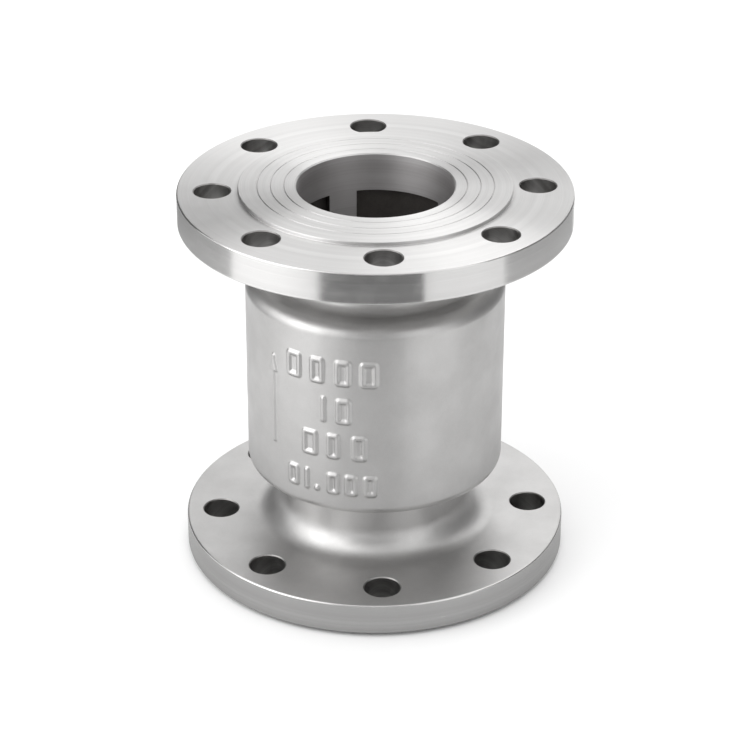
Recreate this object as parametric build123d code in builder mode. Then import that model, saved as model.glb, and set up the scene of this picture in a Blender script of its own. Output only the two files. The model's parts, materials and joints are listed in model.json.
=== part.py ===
"""Flanged vertical lift check valve, DN 80, with a spring-closed disc guided above and below its seat.

Frame: the valve axis is +Z and the flow runs up. The origin is the centre of the inlet joint face, and the
casting's raised marks face -Y. Every level is a height above the inlet joint face. All sizes are millimetres.
"""

from build123d import *
from math import cos, radians, sin
import os

# Casting, outside
face_to_face = 200.0
flange_radius = 97.5
flange_thickness = 18.0  # raised face included
raised_face_radius = 67.5
raised_face_height = 2.0
bolt_circle_radius = 80.0
bolt_hole_radius = 9.0
bolt_count = 8
neck_radius = 48.0
barrel_radius = 65.0
barrel_bottom = 49.5
barrel_top = 153.5
inlet_fillet = 14.0
outlet_fillet = 12.0
barrel_top_rounding = 7.0
barrel_bottom_rounding = 5.0
barrel_top_root = 6.0
barrel_bottom_root = 3.0
machined_chamfer = 0.8

# Casting, inside
port_radius = 39.0
inlet_port_length = 18.0
outlet_port_length = 20.0
throat_radius = 33.0
throat_top = 40.0
seat_pocket_radius = 36.0
seat_pocket_floor = 50.0
seat_boss_radius = 42.0
seat_boss_top = 62.0
chamber_radius = 57.5
chamber_floor = 57.0
chamber_ceiling = 147.0
chamber_corner = 8.0
neck_cavity_radius = 43.0
rib_count = 4
rib_width = 15.0
rib_land_radius = 38.0  # the disc runs between these lands
guide_ledge = 146.0  # above it the lands open to the port radius
inlet_flange_cut = 20.0
neck_cut = 49.4  # just under the barrel, so that its bottom is flat
housing_cut = 60.0  # below the raised marks

# Seat
seat_bore_radius = 32.0
seat_land_radius = 36.0
seat_flange_radius = 37.7
seat_face = 69.0
seat_land_height = 1.5
seat_web_count = 3
seat_web_width = 5.0
seat_web_height = 6.0
seat_hub_radius = 10.0
seat_hub_bottom = 40.0
seat_hub_top = 58.0
o_ring_cord_radius = 1.3
o_ring_level = 52.8
lock_screw_height = 58.4
lock_screw_radius = 2.0
lock_screw_inner = 32.6
lock_screw_outer = 39.0

# Disc and stem
disc_radius = 37.3
disc_top = 79.0
disc_hub_radius = 12.0  # locates the lower spring washer
disc_hub_step = 82.0
disc_neck_radius = 10.5
disc_hub_top = 87.0
seal_inner_radius = 29.0
seal_outer_radius = 36.5
seal_depth = 4.0
clamp_ring_radius = 31.0
clamp_ring_bottom = 65.0
stem_radius = 5.0
stem_bottom = 24.0
stem_top = 150.0
stem_collar_radius = 8.0
thread_radius = 6.0
nut_bottom = 88.4
nut_top = 98.0
nut_across_flats = 18.0
disc_lift = 16.0
running_clearance = 0.05

# Guide and spring
guide_hub_radius = 11.0
guide_hub_bottom = nut_top + disc_lift
guide_top = 154.0
guide_arm_bottom = 144.0
guide_arm_width = 5.0
guide_arm_recess = 2.0  # the arms' tops lie this far below the rim's
guide_rim_inner = 34.5
guide_rim_radius = 38.8
bush_radius = 7.5
bush_collar_radius = 9.0
bush_collar_thickness = 1.5
spring_washer_thickness = 1.5
spring_washer_radius = 17.5
spring_mean_radius = 14.2
spring_wire_radius = 1.1
spring_turns = 7.5
ring_thickness = 2.5
ring_groove_radius = 41.0

os.makedirs("parts", exist_ok=True)


def write(part, name):
    """Label one finished piece and write it as its own STEP file."""
    part.label = name
    export_step(part, f"parts/{name}.step")


def round_edges(shape, radius, height):
    """The circular edges about the Z axis that have this radius and height."""
    circles = shape.edges().filter_by(GeomType.CIRCLE)
    return circles.filter_by(
        lambda edge: abs(edge.radius - radius) < 0.01
        and abs(edge.arc_center.Z - height) < 0.01
        and abs(edge.arc_center.X) + abs(edge.arc_center.Y) < 0.01
    )


def corner(sketch, radius, height):
    """The corner of a section sketch nearest to a radius and a height."""
    return sketch.vertices().sort_by_distance((radius, 0, height))[0]


def turned(points, name):
    """A piece turned about the Z axis from the corners of its section, given as (radius, height)."""
    with BuildPart() as piece:
        with BuildSketch(Plane.XZ):
            with BuildLine():
                Polyline(*points, close=True)
            make_face()
        revolve(axis=Axis.Z)
    piece.part.label = name
    return piece.part


def barrel_plane(azimuth, height):
    """A plane that touches the barrel, with azimuth counted from -Y towards +X, and its x and y level and up."""
    angle = radians(azimuth - 90)
    outward = (cos(angle), sin(angle), 0)
    level = (-sin(angle), cos(angle), 0)
    touch = (barrel_radius * cos(angle), barrel_radius * sin(angle), height)
    return Plane(origin=touch, x_dir=level, z_dir=outward)


# The space that the moulding core leaves inside the casting, with the machined bores.
with BuildPart() as core:
    with BuildSketch(Plane.XZ) as core_section:
        with BuildLine():
            Polyline(
                (0, 0),
                (port_radius, 0),
                (port_radius, inlet_port_length),
                (throat_radius, throat_top),
                (throat_radius, seat_pocket_floor),
                (seat_pocket_radius, seat_pocket_floor),
                (seat_pocket_radius, seat_boss_top),
                (seat_boss_radius, seat_boss_top),
                (seat_boss_radius, chamber_floor),
                (chamber_radius, chamber_floor),
                (chamber_radius, chamber_ceiling),
                (neck_cavity_radius, chamber_ceiling),
                (neck_cavity_radius, face_to_face - outlet_port_length),
                (port_radius, face_to_face - outlet_port_length),
                (port_radius, face_to_face),
                (0, face_to_face),
                close=True,
            )
        make_face()
        chamber_corners = [
            corner(core_section.sketch, chamber_radius, chamber_floor),
            corner(core_section.sketch, chamber_radius, chamber_ceiling),
        ]
        fillet(chamber_corners, chamber_corner)
        throat_corners = [
            corner(core_section.sketch, port_radius, inlet_port_length),
            corner(core_section.sketch, throat_radius, throat_top),
        ]
        fillet(throat_corners, 10)
        fillet(corner(core_section.sketch, neck_cavity_radius, chamber_ceiling), 3)
    revolve(axis=Axis.Z)
    rib_reach = chamber_radius + 5 - rib_land_radius
    with BuildSketch(Plane.XY.offset(seat_boss_top)):
        with PolarLocations(rib_land_radius + rib_reach / 2, rib_count, start_angle=45):
            Rectangle(rib_reach, rib_width)
    extrude(amount=face_to_face - outlet_port_length - seat_boss_top, mode=Mode.SUBTRACT)
    with BuildSketch(Plane.XY.offset(guide_ledge)):
        Circle(port_radius)
    extrude(amount=face_to_face - guide_ledge)
    with BuildSketch(Plane.XY.offset(seat_boss_top)):
        Circle(rib_land_radius)
    extrude(amount=guide_ledge - seat_boss_top)
    with BuildSketch(Plane.XY.offset(guide_top)):
        Circle(ring_groove_radius)
    extrude(amount=ring_thickness + 0.1)

# Raised foundry marks: outlines with no meaning in four rows, and the flow arrow beside them.
mark_height = 1.0
mark_root = 2.0
stroke = 2.2
#        row height, glyph height, then (azimuth, width) of each glyph
mark_rows = (
    (128.3, 13.5, ((-17.4, 8.4), (-5.9, 7.4), (5.9, 7.8), (17.2, 8.4))),
    (107.4, 13.5, ((-3.0, stroke), (6.1, 7.6))),
    (87.6, 13.5, ((-9.6, 8.4), (1.4, 6.6), (13.0, 7.2))),
    (66.6, 11.5, ((-18.2, 6.4), (-11.2, stroke), (1.4, 6.4), (9.4, 6.4), (17.8, 6.6))),
)
arrow_azimuth = -29.8
arrow_tail = 80.0
arrow_tip = 128.5
arrow_width = 1.8
arrow_head = 9.0
arrow_head_width = 5.4
with BuildPart() as marks:
    for row_height, glyph_height, glyphs in mark_rows:
        for azimuth, width in glyphs:
            with BuildSketch(barrel_plane(azimuth, row_height).offset(-mark_root)):
                RectangleRounded(width, glyph_height, 0.45 * min(width, 6))
                if width > 2 * stroke:
                    opening = width - 2 * stroke
                    RectangleRounded(
                        opening,
                        glyph_height - 2 * stroke,
                        0.4 * opening,
                        mode=Mode.SUBTRACT,
                    )
            extrude(amount=mark_root + mark_height)
    with BuildSketch(barrel_plane(-6.2, 62.4).offset(-mark_root)):
        Circle(1.3)
    extrude(amount=mark_root + mark_height)
    with BuildSketch(barrel_plane(arrow_azimuth, arrow_tail).offset(-mark_root)):
        with BuildLine():
            arrow_length = arrow_tip - arrow_tail
            Polyline(
                (-arrow_width / 2, 0),
                (arrow_width / 2, 0),
                (arrow_width / 2, arrow_length - arrow_head),
                (arrow_head_width / 2, arrow_length - arrow_head),
                (0, arrow_length),
                (-arrow_head_width / 2, arrow_length - arrow_head),
                (-arrow_width / 2, arrow_length - arrow_head),
                close=True,
            )
        make_face()
    extrude(amount=mark_root + mark_height)
    mark_tops = marks.faces().filter_by(
        lambda face: abs(face.normal_at().Z) < 0.01
        and abs(face.center().dot(face.normal_at()) - barrel_radius - mark_height) < 0.01
    )
    chamfer(mark_tops.edges(), 0.3)

# The casting: two flanges, two necks and the barrel, in one piece.
with BuildPart() as casting:
    with BuildSketch():
        Circle(raised_face_radius)
    extrude(amount=face_to_face)
    with BuildSketch(Plane.XY.offset(raised_face_height)):
        Circle(flange_radius)
    extrude(amount=face_to_face - 2 * raised_face_height)
    with BuildSketch(Plane.XY.offset(flange_thickness)):
        Circle(flange_radius + 1)
        Circle(neck_radius, mode=Mode.SUBTRACT)
    extrude(amount=face_to_face - 2 * flange_thickness, mode=Mode.SUBTRACT)
    with BuildSketch(Plane.XY.offset(barrel_bottom)):
        Circle(barrel_radius)
    extrude(amount=barrel_top - barrel_bottom)

    outlet_flange_back = face_to_face - flange_thickness
    fillet(round_edges(casting.part, neck_radius, flange_thickness), inlet_fillet)
    fillet(round_edges(casting.part, neck_radius, outlet_flange_back), outlet_fillet)
    fillet(round_edges(casting.part, neck_radius, barrel_top), barrel_top_root)
    fillet(round_edges(casting.part, neck_radius, barrel_bottom), barrel_bottom_root)
    fillet(round_edges(casting.part, barrel_radius, barrel_top), barrel_top_rounding)
    fillet(round_edges(casting.part, barrel_radius, barrel_bottom), barrel_bottom_rounding)
    rim_levels = (
        raised_face_height,
        flange_thickness,
        outlet_flange_back,
        face_to_face - raised_face_height,
    )
    for level in rim_levels:
        chamfer(round_edges(casting.part, flange_radius, level), machined_chamfer)
    for level in (0, face_to_face):
        chamfer(round_edges(casting.part, raised_face_radius, level), 0.5)

    add(marks.part)
    add(core.part, mode=Mode.SUBTRACT)

    # Bolt holes straddle the marks' centre line.
    with BuildSketch():
        with PolarLocations(bolt_circle_radius, bolt_count, start_angle=22.5):
            Circle(bolt_hole_radius)
    extrude(amount=face_to_face, mode=Mode.SUBTRACT)
    hole_edges = casting.part.edges().filter_by(GeomType.CIRCLE).filter_by(
        lambda edge: abs(edge.radius - bolt_hole_radius) < 0.01
    )
    chamfer(hole_edges, 0.5)
    chamfer(round_edges(casting.part, port_radius, 0), 0.6)
    chamfer(round_edges(casting.part, port_radius, face_to_face), 0.6)

    # Sealing grooves turned in each joint face.
    groove_width = 0.8
    groove_depth = 0.35
    for groove_radius in (45.0, 51.6, 58.2):
        for face, inward in ((0, 1), (face_to_face, -1)):
            with BuildSketch(Plane.XZ):
                with BuildLine():
                    Polyline(
                        (groove_radius - groove_width / 2, face),
                        (groove_radius + groove_width / 2, face),
                        (groove_radius, face + inward * groove_depth),
                        close=True,
                    )
                make_face()
            revolve(axis=Axis.Z, mode=Mode.SUBTRACT)

    # Blind holes for the two screws that lock the seat ring.
    for side in (1, -1):
        with BuildSketch(Plane.YZ.offset(side * lock_screw_inner)):
            with Locations((0, lock_screw_height)):
                Circle(lock_screw_radius)
        extrude(amount=side * (lock_screw_outer - lock_screw_inner), mode=Mode.SUBTRACT)

# The one casting is written as six solids, cut across the axis where its hollow changes.
casting_cuts = (
    ("inlet_flange", 0, inlet_flange_cut),
    ("inlet_neck", inlet_flange_cut, neck_cut),
    ("seat_housing", neck_cut, housing_cut),
    ("barrel", housing_cut, chamber_ceiling),
    ("outlet_neck", chamber_ceiling, face_to_face - outlet_port_length),
    ("outlet_flange", face_to_face - outlet_port_length, face_to_face),
)
with BuildPart() as boss_lip:
    add(casting.part)
    with BuildSketch(Plane.XY.offset(housing_cut)):
        Circle(seat_boss_radius + 1)
    extrude(amount=seat_boss_top - housing_cut, mode=Mode.INTERSECT)
for name, low, high in casting_cuts:
    with BuildPart() as length:
        add(casting.part)
        with BuildSketch(Plane.XY.offset(low)):
            Circle(flange_radius + 1)
        extrude(amount=high - low, mode=Mode.INTERSECT)
        if name == "seat_housing":
            add(boss_lip.part)
        if name == "barrel":
            add(boss_lip.part, mode=Mode.SUBTRACT)
    write(length.part, name)

# Seat ring: screwed into the pocket, with webs that carry the lower guide.
o_ring_radius = seat_pocket_radius - o_ring_cord_radius - running_clearance
with BuildPart() as seat_ring:
    with BuildSketch(Plane.XZ):
        with BuildLine():
            Polyline(
                (seat_bore_radius, seat_pocket_floor + 0.1),
                (seat_pocket_radius - running_clearance, seat_pocket_floor + 0.1),
                (seat_pocket_radius - running_clearance, seat_boss_top),
                (seat_flange_radius, seat_boss_top),
                (seat_flange_radius, seat_face - seat_land_height),
                (seat_land_radius, seat_face - seat_land_height),
                (seat_land_radius, seat_face),
                (seat_bore_radius, seat_face),
                close=True,
            )
        make_face()
    revolve(axis=Axis.Z)
    with BuildSketch(Plane.XY.offset(seat_pocket_floor + 2)):
        with PolarLocations(seat_bore_radius / 2, seat_web_count, start_angle=90):
            Rectangle(seat_bore_radius + 1, seat_web_width)
    extrude(amount=seat_web_height)
    with BuildSketch(Plane.XY.offset(seat_hub_bottom)):
        Circle(seat_hub_radius)
    extrude(amount=seat_hub_top - seat_hub_bottom)
    with BuildSketch(Plane.XY.offset(seat_hub_bottom)):
        Circle(bush_radius)
    extrude(amount=seat_hub_top - seat_hub_bottom, mode=Mode.SUBTRACT)
    with BuildSketch(Plane.XZ):
        with Locations((o_ring_radius, o_ring_level)):
            Rectangle(2 * o_ring_cord_radius + 0.4, 2 * o_ring_cord_radius + 0.4)
    revolve(axis=Axis.Z, mode=Mode.SUBTRACT)
    for side in (1, -1):
        with BuildSketch(Plane.YZ.offset(side * (seat_bore_radius - 1))):
            with Locations((0, lock_screw_height)):
                Circle(lock_screw_radius)
        extrude(amount=side * 6, mode=Mode.SUBTRACT)
    chamfer(round_edges(seat_ring.part, seat_hub_radius, seat_hub_bottom), 2)
    chamfer(round_edges(seat_ring.part, seat_bore_radius, seat_face), 0.5)
    chamfer(round_edges(seat_ring.part, seat_flange_radius, seat_face - seat_land_height), 0.5)
write(seat_ring.part, "seat_ring")

with BuildPart() as seat_o_ring:
    with BuildSketch(Plane.XZ):
        with Locations((o_ring_radius, o_ring_level)):
            Circle(o_ring_cord_radius)
    revolve(axis=Axis.Z)
write(seat_o_ring.part, "seat_o_ring")

with BuildPart() as seat_lock_screws:
    for side in (1, -1):
        with BuildSketch(Plane.YZ.offset(side * lock_screw_inner)):
            with Locations((0, lock_screw_height)):
                Circle(lock_screw_radius - 0.02)
        extrude(amount=side * (lock_screw_outer - lock_screw_inner - 0.4))
        with BuildSketch(Plane.YZ.offset(side * lock_screw_inner)):
            with Locations((0, lock_screw_height)):
                RegularPolygon(1.0, 6, major_radius=False)
        extrude(amount=side * 2, mode=Mode.SUBTRACT)
write(seat_lock_screws.part, "seat_lock_screws")


def guide_bush(bottom, top, name):
    """A collared bush: its collar stands on the hub's top, and its bore runs on the stem."""
    bore = stem_radius + running_clearance
    section = (
        (bore, bottom),
        (bush_radius, bottom),
        (bush_radius, top),
        (bush_collar_radius, top),
        (bush_collar_radius, top + bush_collar_thickness),
        (bore, top + bush_collar_thickness),
    )
    with BuildPart() as bush:
        add(turned(section, name))
        chamfer(round_edges(bush.part, bush_radius, bottom), 0.5)
        chamfer(round_edges(bush.part, bore, top + bush_collar_thickness), 0.4)
    return bush.part


write(guide_bush(seat_hub_bottom + 0.5, seat_hub_top, "lower_guide_bush"), "lower_guide_bush")

# Disc, with a recess for its seal and a hub for the stem.
clamp_screw_circle = 20.0
clamp_screw_count = 6
clamp_screw_radius = 2.5
clamp_screw_head_radius = 4.6
clamp_screw_depth = 9.0
with BuildPart() as disc:
    with BuildSketch(Plane.XZ) as disc_section:
        with BuildLine():
            Polyline(
                (thread_radius, seat_face),
                (seal_inner_radius, seat_face),
                (seal_inner_radius, seat_face + seal_depth),
                (seal_outer_radius, seat_face + seal_depth),
                (seal_outer_radius, seat_face + 0.4),
                (disc_radius, seat_face + 0.4),
                (disc_radius, disc_top - 3),
                (26, disc_top),
                (disc_hub_radius, disc_top),
                (disc_hub_radius, disc_hub_step),
                (disc_neck_radius, disc_hub_step),
                (disc_neck_radius, disc_hub_top),
                (thread_radius, disc_hub_top),
                close=True,
            )
        make_face()
    revolve(axis=Axis.Z)
    with BuildSketch(Plane.XY.offset(seat_face)):
        with PolarLocations(clamp_screw_circle, clamp_screw_count):
            Circle(clamp_screw_radius)
    extrude(amount=clamp_screw_depth - 4, mode=Mode.SUBTRACT)
    chamfer(round_edges(disc.part, disc_hub_radius, disc_hub_step), 0.5)
    chamfer(round_edges(disc.part, disc_neck_radius, disc_hub_top), 0.5)
    fillet(round_edges(disc.part, disc_radius, disc_top - 3), 0.8)
write(disc.part, "disc")

seal_section_points = (
    (seal_inner_radius + running_clearance, seat_face),
    (seal_outer_radius - running_clearance, seat_face),
    (seal_outer_radius - running_clearance, seat_face + seal_depth),
    (seal_inner_radius + running_clearance, seat_face + seal_depth),
)
write(turned(seal_section_points, "disc_seal"), "disc_seal")

with BuildPart() as seal_clamp_ring:
    clamp_ring_section = (
        (stem_collar_radius + 0.6, clamp_ring_bottom),
        (clamp_ring_radius, clamp_ring_bottom),
        (clamp_ring_radius, seat_face),
        (stem_collar_radius + 0.6, seat_face),
    )
    add(turned(clamp_ring_section, "seal_clamp_ring"))
    with Locations(Plane.XY.offset(clamp_ring_bottom).rotated((180, 0, 0))):
        with PolarLocations(clamp_screw_circle, clamp_screw_count):
            CounterSinkHole(clamp_screw_radius, clamp_screw_head_radius, depth=6, counter_sink_angle=90)
    chamfer(round_edges(seal_clamp_ring.part, clamp_ring_radius, clamp_ring_bottom), 1.0)
write(seal_clamp_ring.part, "seal_clamp_ring")

# Countersunk screws: heads flush with the clamp ring's lower face.
with BuildPart() as clamp_ring_screws:
    screw_clearance = 0.02
    shank = clamp_screw_radius - screw_clearance
    head = clamp_screw_head_radius - 2 * screw_clearance
    with BuildSketch(Plane.XZ):
        with BuildLine():
            Polyline(
                (clamp_screw_circle, clamp_ring_bottom),
                (clamp_screw_circle + head, clamp_ring_bottom),
                (clamp_screw_circle + shank, clamp_ring_bottom + head - shank),
                (clamp_screw_circle + shank, clamp_ring_bottom + clamp_screw_depth - 0.5),
                (clamp_screw_circle, clamp_ring_bottom + clamp_screw_depth - 0.5),
                close=True,
            )
        make_face()
    revolve(axis=Axis((clamp_screw_circle, 0, 0), (0, 0, 1)))
    with BuildSketch(Plane.XY.offset(clamp_ring_bottom)):
        with Locations((clamp_screw_circle, 0)):
            RegularPolygon(1.5, 6, major_radius=False)
    extrude(amount=2, mode=Mode.SUBTRACT)
    one_screw = clamp_ring_screws.part
    for turn in range(1, clamp_screw_count):
        add(one_screw.rotate(Axis.Z, turn * 360 / clamp_screw_count))
write(clamp_ring_screws.part, "clamp_ring_screws")

# Stem: guided below and above, with a collar under the disc and a thread for the nut over it.
thread_top = nut_top + 1
with BuildPart() as stem:
    stem_section = (
        (0, stem_bottom),
        (stem_radius, stem_bottom),
        (stem_radius, clamp_ring_bottom - 1),
        (stem_collar_radius, clamp_ring_bottom - 1),
        (stem_collar_radius, seat_face),
        (thread_radius - running_clearance, seat_face),
        (thread_radius - running_clearance, thread_top),
        (stem_radius, thread_top + 1),
        (stem_radius, stem_top),
        (0, stem_top),
    )
    add(turned(stem_section, "stem"))
    chamfer(round_edges(stem.part, stem_radius, stem_bottom), 1.2)
    chamfer(round_edges(stem.part, stem_radius, stem_top), 1.2)
    chamfer(round_edges(stem.part, stem_collar_radius, clamp_ring_bottom - 1), 0.8)
write(stem.part, "stem")

# Tab washer: a plain ring with one tab up against a flat of the nut and one down over the disc hub.
washer_thickness = nut_bottom - disc_hub_top
tab_gap = 0.1
up_tab_inner = nut_across_flats / 2 + tab_gap
down_tab_inner = disc_neck_radius + tab_gap
tab_root = 3.0  # how far each tab's foot reaches back into the ring
with BuildPart() as tab_washer:
    with BuildSketch(Plane.XY.offset(disc_hub_top)):
        Circle(10)
        with Locations((0, up_tab_inner + washer_thickness - tab_root)):
            Rectangle(6, 2 * tab_root)
        with Locations((0, -down_tab_inner - washer_thickness + tab_root)):
            Rectangle(5, 2 * tab_root)
        Circle(thread_radius, mode=Mode.SUBTRACT)
    extrude(amount=washer_thickness)
    with BuildSketch(Plane.XY.offset(nut_bottom)):
        with Locations((0, up_tab_inner + washer_thickness / 2)):
            Rectangle(6, washer_thickness)
    extrude(amount=4.5)
    with BuildSketch(Plane.XY.offset(disc_hub_top)):
        with Locations((0, -down_tab_inner - washer_thickness / 2)):
            Rectangle(5, washer_thickness)
    extrude(amount=-4)
write(tab_washer.part, "tab_washer")

with BuildPart() as stem_nut:
    with BuildSketch(Plane.XY.offset(nut_bottom)):
        RegularPolygon(nut_across_flats / 2, 6, major_radius=False)
        Circle(thread_radius, mode=Mode.SUBTRACT)
    extrude(amount=nut_top - nut_bottom)
    nut_corner = nut_across_flats / 2 / cos(radians(30))
    cutter_top = nut_top + 0.01
    with BuildSketch(Plane.XZ):
        with BuildLine():
            Polyline(
                (nut_corner - 1.6, cutter_top),
                (nut_corner + 1, cutter_top),
                (nut_corner + 1, nut_top - 1.5),
                close=True,
            )
        make_face()
    revolve(axis=Axis.Z, mode=Mode.SUBTRACT)
    chamfer(round_edges(stem_nut.part, thread_radius, nut_top), 0.6)
write(stem_nut.part, "stem_nut")


def spring_washer(bottom, bore, name):
    """A flat thrust washer under one end of the spring."""
    top = bottom + spring_washer_thickness
    section = (
        (bore, bottom),
        (spring_washer_radius, bottom),
        (spring_washer_radius, top),
        (bore, top),
    )
    with BuildPart() as washer:
        add(turned(section, name))
        chamfer(round_edges(washer.part, spring_washer_radius, top), 0.3)
        chamfer(round_edges(washer.part, spring_washer_radius, bottom), 0.3)
    return washer.part


write(spring_washer(disc_top, disc_hub_radius + 0.3, "lower_spring_washer"), "lower_spring_washer")
upper_washer_bottom = guide_arm_bottom - spring_washer_thickness
write(
    spring_washer(upper_washer_bottom, guide_hub_radius + 0.3, "upper_spring_washer"),
    "upper_spring_washer",
)

# Compression spring between the two washers: one even helix.
spring_bottom = disc_top + spring_washer_thickness
spring_top = upper_washer_bottom
with BuildPart() as spring:
    free_height = spring_top - spring_bottom - 2 * spring_wire_radius
    with BuildLine() as spring_path:
        Helix(
            pitch=free_height / spring_turns,
            height=free_height,
            radius=spring_mean_radius,
            center=(0, 0, spring_bottom + spring_wire_radius),
        )
    with BuildSketch(Plane(origin=spring_path.line @ 0, z_dir=spring_path.line % 0)):
        Circle(spring_wire_radius)
    sweep(path=spring_path.line, is_frenet=True)
write(spring.part, "spring")

# Upper guide: a long hub on four arms in a rim that stands on the ledge in the ribs.
guide_arm_top = guide_top - guide_arm_recess
with BuildPart() as upper_guide:
    with BuildSketch(Plane.XY.offset(guide_ledge)):
        Circle(guide_rim_radius)
        Circle(guide_rim_inner, mode=Mode.SUBTRACT)
    extrude(amount=guide_top - guide_ledge)
    with BuildSketch(Plane.XY.offset(guide_arm_bottom)):
        with PolarLocations(guide_rim_inner / 2, rib_count, start_angle=45):
            Rectangle(guide_rim_inner + 1, guide_arm_width)
        Circle(spring_washer_radius)
    extrude(amount=guide_arm_top - guide_arm_bottom)
    with BuildSketch(Plane.XY.offset(guide_hub_bottom)):
        Circle(guide_hub_radius)
    extrude(amount=guide_arm_top - guide_hub_bottom)
    with BuildSketch(Plane.XY.offset(guide_hub_bottom)):
        Circle(bush_radius)
    extrude(amount=guide_top - guide_hub_bottom, mode=Mode.SUBTRACT)
    chamfer(round_edges(upper_guide.part, guide_rim_radius, guide_top), 0.5)
    chamfer(round_edges(upper_guide.part, guide_rim_radius, guide_ledge), 0.5)
    chamfer(round_edges(upper_guide.part, guide_hub_radius, guide_hub_bottom), 0.8)
write(upper_guide.part, "upper_guide")
write(guide_bush(guide_hub_bottom + 3, guide_arm_top, "upper_guide_bush"), "upper_guide_bush")

# Internal retaining ring: open at the back, with two eyes for the pliers.
ring_outer_radius = ring_groove_radius - 0.3
ring_inner_radius = 36.4
eye_angle = 12.0
eye_radius = 3.6
eye_circle = 34.4
eye_hole_radius = 1.3
eye_hole_circle = 33.9
ring_gap = 9.0
eye_span = {"start_angle": 90 - eye_angle, "angular_range": 2 * eye_angle, "endpoint": True}
with BuildPart() as retaining_ring:
    with BuildSketch(Plane.XY.offset(guide_top)):
        Circle(ring_outer_radius)
        Circle(ring_inner_radius, mode=Mode.SUBTRACT)
        with PolarLocations(eye_circle, 2, **eye_span):
            Circle(eye_radius)
        with Locations((0, ring_outer_radius)):
            Rectangle(ring_gap, 20, mode=Mode.SUBTRACT)
        with PolarLocations(eye_hole_circle, 2, **eye_span):
            Circle(eye_hole_radius, mode=Mode.SUBTRACT)
    extrude(amount=ring_thickness)
write(retaining_ring.part, "retaining_ring")
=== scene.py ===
"""Studio scene of a flanged vertical lift check valve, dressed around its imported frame.

The frame gives the valve's size and the place of every inner piece. The casting and the spring are built
here in finer detail, and the other pieces keep their own solids and get their finishes here.
"""

import json
import logging
import math
from collections.abc import Iterable, Sequence
from dataclasses import dataclass, field
from enum import Enum
from typing import Any, NamedTuple

import bmesh
import bpy
from mathutils import Matrix, Vector, noise


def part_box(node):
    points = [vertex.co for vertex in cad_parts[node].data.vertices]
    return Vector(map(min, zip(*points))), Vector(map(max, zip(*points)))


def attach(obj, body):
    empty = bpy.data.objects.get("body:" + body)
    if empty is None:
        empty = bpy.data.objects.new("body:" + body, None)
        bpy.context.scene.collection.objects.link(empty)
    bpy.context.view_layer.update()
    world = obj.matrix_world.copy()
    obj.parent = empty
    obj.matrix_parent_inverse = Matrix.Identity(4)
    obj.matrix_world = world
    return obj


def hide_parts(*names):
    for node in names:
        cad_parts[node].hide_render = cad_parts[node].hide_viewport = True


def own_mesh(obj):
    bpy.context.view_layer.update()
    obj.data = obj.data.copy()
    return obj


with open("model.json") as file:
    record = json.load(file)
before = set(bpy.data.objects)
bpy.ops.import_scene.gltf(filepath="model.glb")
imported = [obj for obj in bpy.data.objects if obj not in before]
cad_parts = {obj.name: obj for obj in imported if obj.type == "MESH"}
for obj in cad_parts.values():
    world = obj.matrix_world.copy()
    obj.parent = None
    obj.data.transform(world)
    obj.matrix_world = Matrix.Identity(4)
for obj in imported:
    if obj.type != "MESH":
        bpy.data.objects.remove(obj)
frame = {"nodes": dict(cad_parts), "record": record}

LOG = logging.getLogger("valve")
MM = 0.001


# --------------------------------------------------------------------------------------------------
# Node trees
# --------------------------------------------------------------------------------------------------


class Wiring:
    """Short calls that add nodes to one tree and join them."""

    def __init__(self, tree: bpy.types.NodeTree) -> None:
        """Work on a tree that exists already."""
        self.tree = tree

    def feed(self, socket: bpy.types.NodeSocket, value: Any) -> None:
        """Link a socket to another, or set its value when a plain value is given."""
        if isinstance(value, bpy.types.NodeSocket):
            self.tree.links.new(value, socket)
        else:
            socket.default_value = value

    def add(self, kind: str, inputs: dict[str | int, Any] | None = None, **settings: Any) -> bpy.types.Node:
        """Add one node.

        Args:
            kind: The node's type name.
            inputs: Input socket name or index to a value or another socket.
            settings: The node's own properties.

        Returns:
            The new node.
        """
        node = self.tree.nodes.new(kind)
        for name, value in settings.items():
            setattr(node, name, value)
        for key, value in (inputs or {}).items():
            self.feed(node.inputs[key], value)
        return node

    def math(self, operation: str, *values: Any, clamp: bool = False) -> bpy.types.NodeSocket:
        """Add a Math node and return its result."""
        node = self.add("ShaderNodeMath", dict(enumerate(values)), operation=operation, use_clamp=clamp)
        return node.outputs[0]

    def remap(
        self, value: Any, low: Any, high: Any, to_low: Any = 0.0, to_high: Any = 1.0
    ) -> bpy.types.NodeSocket:
        """Add a clamped Map Range node from [low, high] to [to_low, to_high] and return its result."""
        node = self.add(
            "ShaderNodeMapRange",
            {"Value": value, "From Min": low, "From Max": high, "To Min": to_low, "To Max": to_high},
        )
        return node.outputs["Result"]

    def blend(self, share: Any, low: Sequence[float], high: Sequence[float]) -> bpy.types.NodeSocket:
        """Mix two colours by a share from 0 to 1 and return the colour."""
        node = self.add("ShaderNodeMix", data_type="RGBA")
        self.feed(node.inputs[0], share)
        self.feed(node.inputs[6], (*low, 1.0))
        self.feed(node.inputs[7], (*high, 1.0))
        return node.outputs[2]


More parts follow.
